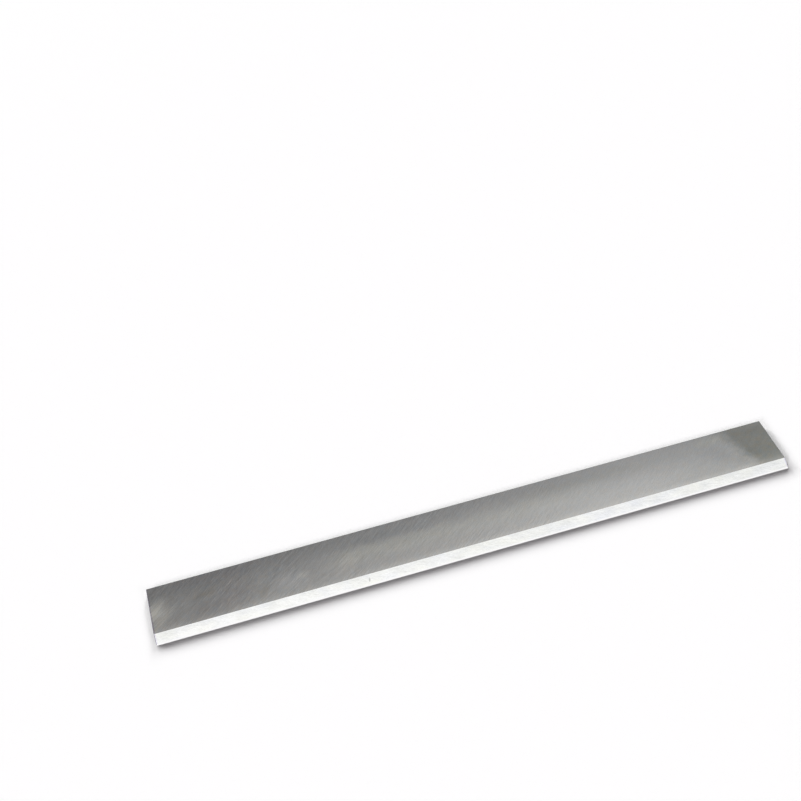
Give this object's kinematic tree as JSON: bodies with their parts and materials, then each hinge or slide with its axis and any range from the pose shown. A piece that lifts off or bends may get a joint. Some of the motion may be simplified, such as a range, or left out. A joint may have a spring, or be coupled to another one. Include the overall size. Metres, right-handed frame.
{
  "type": "planer knife",
  "caption": "Flat steel planer knife with a long ground bevel that runs down to a honed cutting edge, square ends and plain clamping faces.",
  "frame": {"origin": "middle of the flat underside, the face that lies against the wall of the cutterhead's slot", "axes": "+X along the cutting edge, +Y from the cutting edge towards the back edge, +Z through the thickness towards the bevelled face"},
  "size_m": [0.3, 0.03, 0.003],
  "materials": {
    "ground_steel": "surface ground, with fine slanting grinding marks on the flats and a brighter ground bevel"
  },
  "bodies": {
    "root": {"planer_knife": "ground_steel"}
  },
  "joints": []
}
